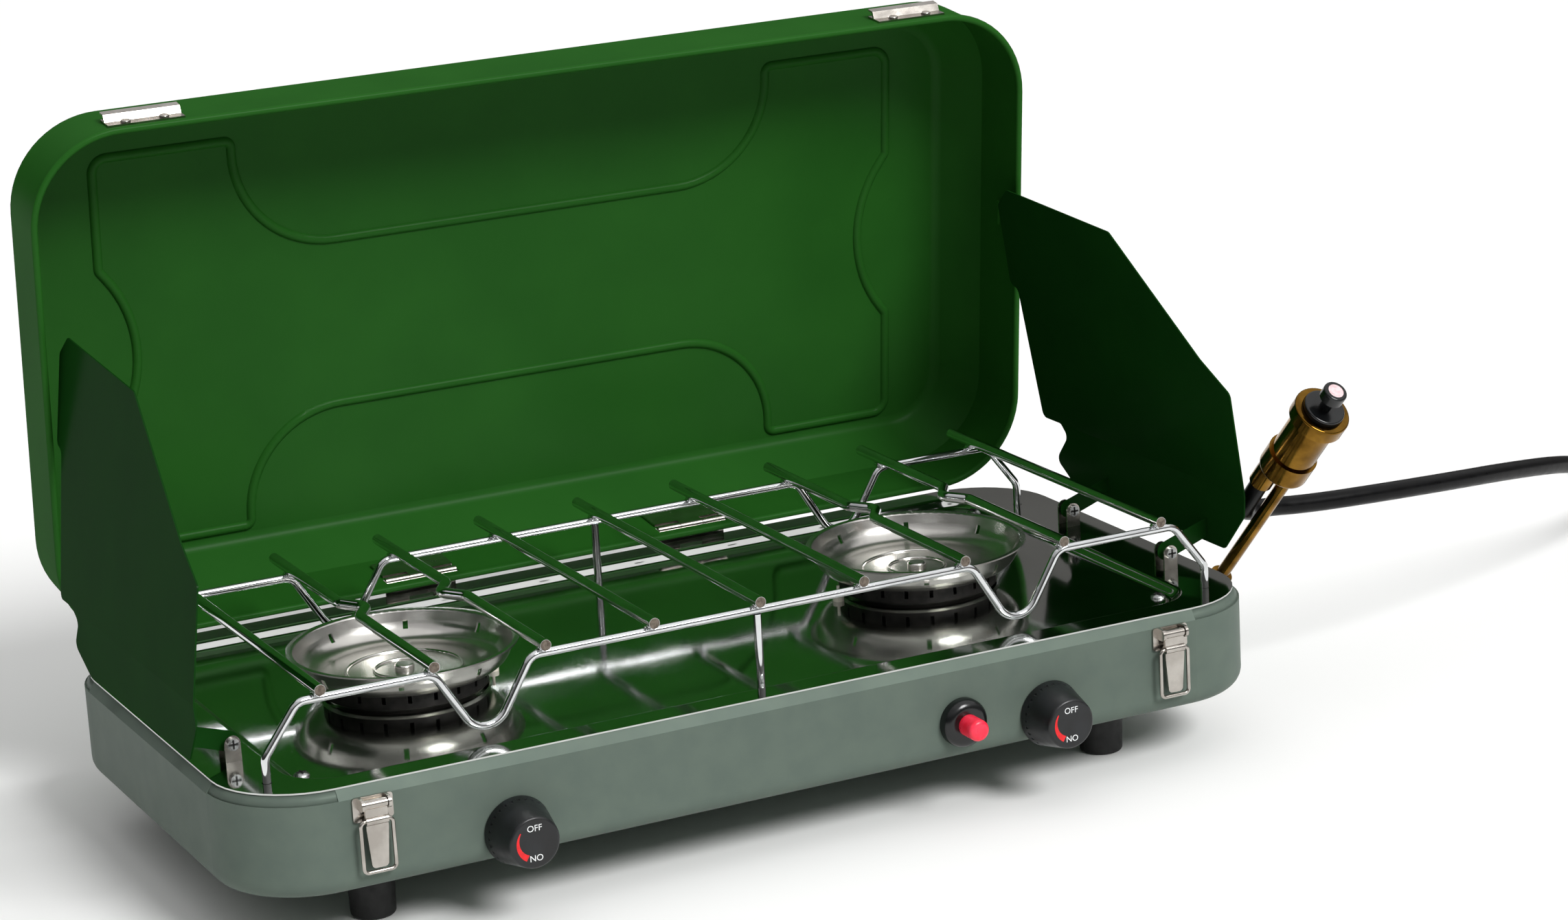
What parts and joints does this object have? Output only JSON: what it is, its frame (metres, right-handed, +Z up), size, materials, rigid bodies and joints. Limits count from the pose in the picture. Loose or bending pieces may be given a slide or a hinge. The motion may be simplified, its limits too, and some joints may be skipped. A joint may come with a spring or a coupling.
{
  "type": "camping stove",
  "caption": "Folding propane camping stove with hinged lid, wind wings, wire grate, round burners, control knobs, push igniter, regulator and gas hose.",
  "frame": {"origin": "on the table plane under the middle of the stove with its lid open and without its hose", "axes": "+X to the user's right along the case, +Y to the back where the lid is hinged, +Z up"},
  "size_m": [1.1262, 0.3587, 0.3644],
  "materials": {
    "case_paint": "silver-grey hammered paint",
    "lid_enamel": "gloss green enamel",
    "wing_enamel": "gloss green enamel",
    "polished_steel": "mirror-polished steel",
    "chrome_wire": "chrome plate",
    "stainless": "spun satin",
    "dark_steel": "heat-darkened",
    "nickel": "nickel plate",
    "zinc": "zinc plate",
    "knob_black": "satin black",
    "bezel_black": "gloss black",
    "button_red": "gloss red",
    "foot_rubber": "matt black",
    "brass": "machined",
    "tube_steel": "drawn",
    "yellow_zinc": "yellow passivated zinc",
    "ceramic": "glazed",
    "lead_sleeve": "silicone sleeve",
    "hose_rubber": "satin black",
    "tie_strap": "matt black",
    "connector_brass": "turned"
  },
  "bodies": {
    "stove": {"case": "case_paint", "cooktop": "polished_steel", "grate_front_wire": "chrome_wire", "grate_back_wire": "chrome_wire", "grate_rods": "chrome_wire", "grate_mid_legs": "chrome_wire", "burner_dishes": "stainless", "burner_cups": "stainless", "burner_screws": "stainless", "burner_port_rings": "dark_steel", "hinge_case_leaves": "nickel", "hinge_pins": "nickel", "latch_bases": "nickel", "latch_pins": "nickel", "wing_brackets": "nickel", "leg_grommets": "nickel", "cooktop_screws": "zinc", "foot_screws": "zinc", "wing_pivot_screws": "zinc", "bracket_pins": "zinc", "cooktop_posts": "zinc", "igniter_body": "knob_black", "igniter_bezel": "bezel_black", "regulator_cap": "bezel_black", "regulator_knob": "bezel_black", "feet": "foot_rubber", "valve_bodies": "brass", "gas_jets": "brass", "gas_manifold": "tube_steel", "mixing_tubes": "tube_steel", "inlet_elbow": "yellow_zinc", "regulator_tube": "yellow_zinc", "regulator_body": "yellow_zinc", "hose_ferrule": "yellow_zinc", "electrodes": "ceramic", "igniter_leads": "lead_sleeve", "gas_hose": "hose_rubber", "hose_coil": "hose_rubber", "coil_tie": "tie_strap", "cylinder_connector": "connector_brass"},
    "lid": {"lid": "lid_enamel", "hinge_lid_leaves": "nickel", "lid_strikes": "nickel", "strike_rivets": "nickel"},
    "wing_left": {"wing_left": "wing_enamel"},
    "wing_right": {"wing_right": "wing_enamel"},
    "knob_left": {"knob_left": "knob_black", "valve_stem_left": "brass"},
    "knob_right": {"knob_right": "knob_black", "valve_stem_right": "brass"},
    "igniter_button": {"igniter_button": "button_red"},
    "latch_lever_left": {"latch_lever_left": "nickel"},
    "latch_lever_right": {"latch_lever_right": "nickel"},
    "latch_bail_left": {"latch_bail_left": "nickel"},
    "latch_bail_right": {"latch_bail_right": "nickel"}
  },
  "joints": [
    {"name": "lid_hinge", "type": "hinge", "parent": "stove", "child": "lid", "pos_m": [-0.01649, 0.12572, 0.0903], "axis": [-1, 0, 0], "range_deg": [-3, 18]},
    {"name": "wing_left_fold", "type": "hinge", "parent": "stove", "child": "wing_left", "pos_m": [-0.27549, -0.03003, 0.092], "axis": [0, 1, 0], "range_deg": [0, 73]},
    {"name": "knob_left_turn", "type": "hinge", "parent": "stove", "child": "knob_left", "pos_m": [-0.16149, -0.15778, 0.045], "axis": [0, -1, 0], "range_deg": [0, 270]},
    {"name": "latch_left_lever", "type": "hinge", "parent": "stove", "child": "latch_lever_left", "pos_m": [-0.2325, -0.15638, 0.0745], "axis": [-1, 0, 0], "range_deg": [0, 95]},
    {"name": "latch_left_bail", "type": "hinge", "parent": "latch_lever_left", "child": "latch_bail_left", "pos_m": [-0.2325, -0.15638, 0.0665], "axis": [-1, 0, 0], "range_deg": [0, 85]},
    {"name": "wing_right_fold", "type": "hinge", "parent": "stove", "child": "wing_right", "pos_m": [0.2425, -0.03003, 0.092], "axis": [0, -1, 0], "range_deg": [0, 73]},
    {"name": "knob_right_turn", "type": "hinge", "parent": "stove", "child": "knob_right", "pos_m": [0.12851, -0.15778, 0.045], "axis": [0, -1, 0], "range_deg": [0, 270]},
    {"name": "latch_right_lever", "type": "hinge", "parent": "stove", "child": "latch_lever_right", "pos_m": [0.1995, -0.15638, 0.0745], "axis": [-1, 0, 0], "range_deg": [0, 95]},
    {"name": "latch_right_bail", "type": "hinge", "parent": "latch_lever_right", "child": "latch_bail_right", "pos_m": [0.1995, -0.15638, 0.0665], "axis": [-1, 0, 0], "range_deg": [0, 85]},
    {"name": "igniter_push", "type": "slide", "parent": "stove", "child": "igniter_button", "axis": [0, 1, 0], "range_m": [0, 0.006], "stiffness_N_per_m": 900}
  ]
}
